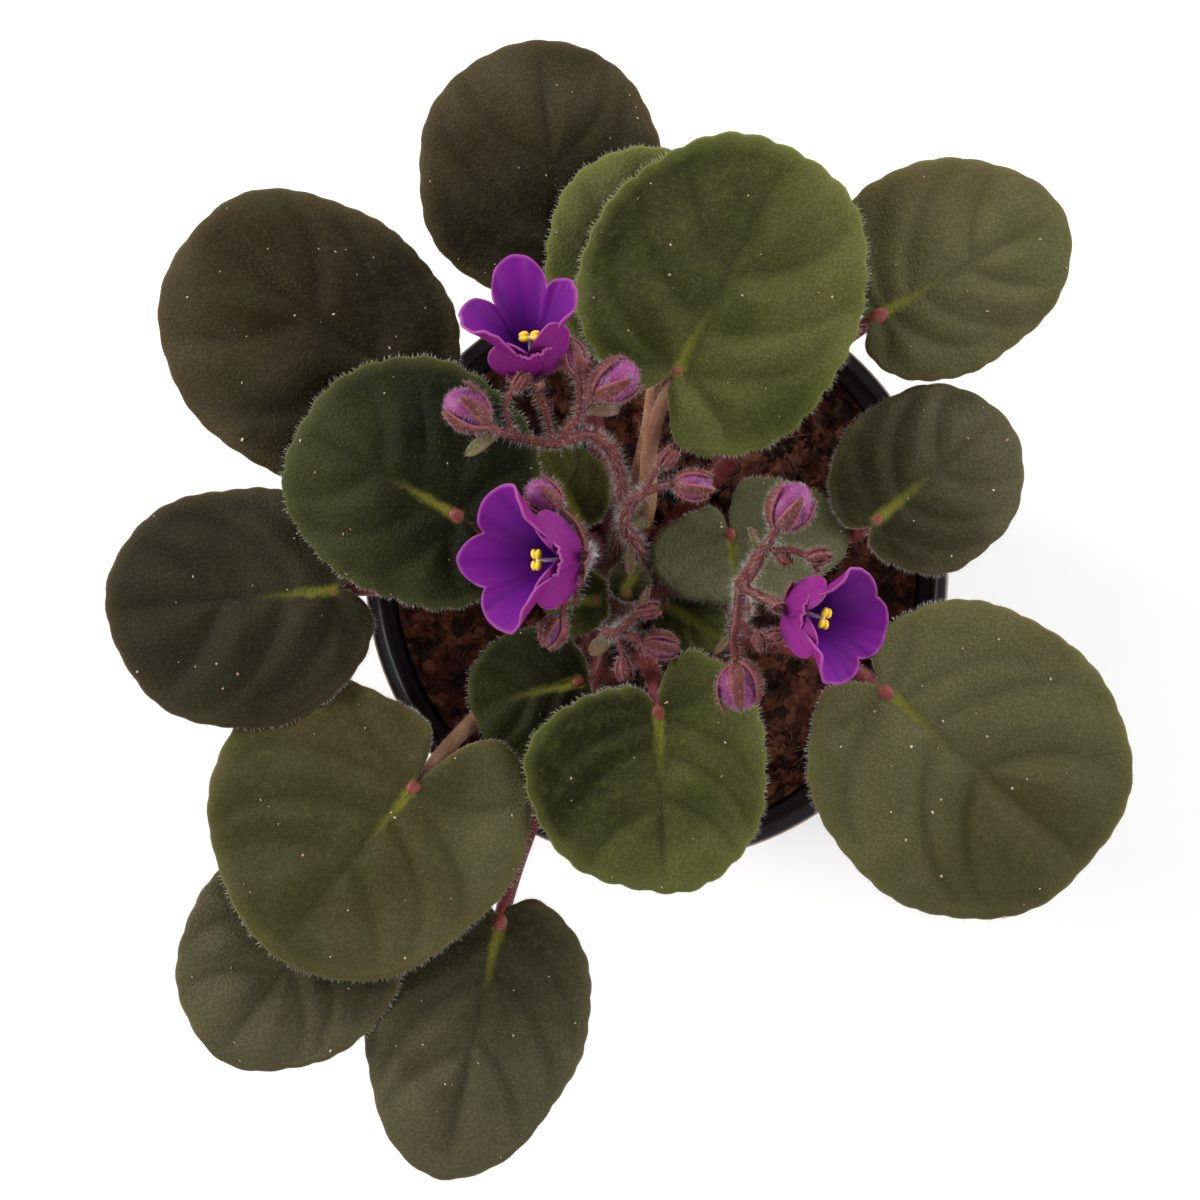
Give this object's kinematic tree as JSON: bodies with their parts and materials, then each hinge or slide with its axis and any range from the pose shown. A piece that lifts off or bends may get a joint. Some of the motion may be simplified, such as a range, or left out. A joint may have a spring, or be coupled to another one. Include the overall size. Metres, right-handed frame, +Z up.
{
  "type": "potted african violet",
  "caption": "Flowering African violet in a round nursery pot: a rosette of hairy rounded leaves on stalks, with sprays of open flowers and buds, set in potting soil.",
  "frame": {"origin": "middle of the pot's base, on the surface that the pot stands on", "axes": "+Z up; +X and +Y level, with +Y towards the leaves that reach furthest back"},
  "size_m": [0.1912, 0.214, 0.1375],
  "materials": {
    "black_plastic": "black moulded pot plastic, satin",
    "coir_soil": "dark reddish-brown peat and coir crumbs, dry and rough",
    "crown_skin": "brown, scarred stem skin",
    "dark_leaf": "dark olive green, velvety with short pale hairs",
    "green_leaf": "brighter green, velvety with short pale hairs",
    "red_stem": "dark red-brown, covered with long white hairs",
    "violet_petal": "deep violet, velvety with a magenta edge",
    "mauve_bud": "mauve pink folded petals, downy",
    "yellow_anther": "bright yellow, smooth"
  },
  "bodies": {
    "root": {"pot": "black_plastic", "potting_soil": "coir_soil", "crown": "crown_skin", "leaf_01": "dark_leaf", "leaf_02": "dark_leaf", "leaf_03": "green_leaf", "leaf_04": "green_leaf", "leaf_05": "dark_leaf", "leaf_06": "dark_leaf", "leaf_07": "dark_leaf", "leaf_08": "green_leaf", "leaf_09": "dark_leaf", "leaf_10": "dark_leaf", "leaf_11": "dark_leaf", "leaf_12": "dark_leaf", "leaf_13": "green_leaf", "leaf_14": "green_leaf", "leaf_15": "green_leaf", "leaf_16": "green_leaf", "leaf_17": "green_leaf", "leaf_18": "green_leaf", "leaf_19": "dark_leaf", "spray_a": "red_stem", "spray_b": "red_stem", "spray_c": "red_stem", "spray_d": "red_stem", "spray_e": "red_stem", "corolla_a": "violet_petal", "corolla_b": "violet_petal", "corolla_d": "violet_petal", "anthers_a": "yellow_anther", "anthers_b": "yellow_anther", "anthers_d": "yellow_anther", "bud_a1": "mauve_bud", "bud_a2": "mauve_bud", "bud_a3": "mauve_bud", "bud_b1": "mauve_bud", "bud_b2": "mauve_bud", "bud_c1": "mauve_bud", "bud_d1": "mauve_bud", "bud_d2": "mauve_bud", "bud_e1": "mauve_bud"}
  },
  "joints": []
}
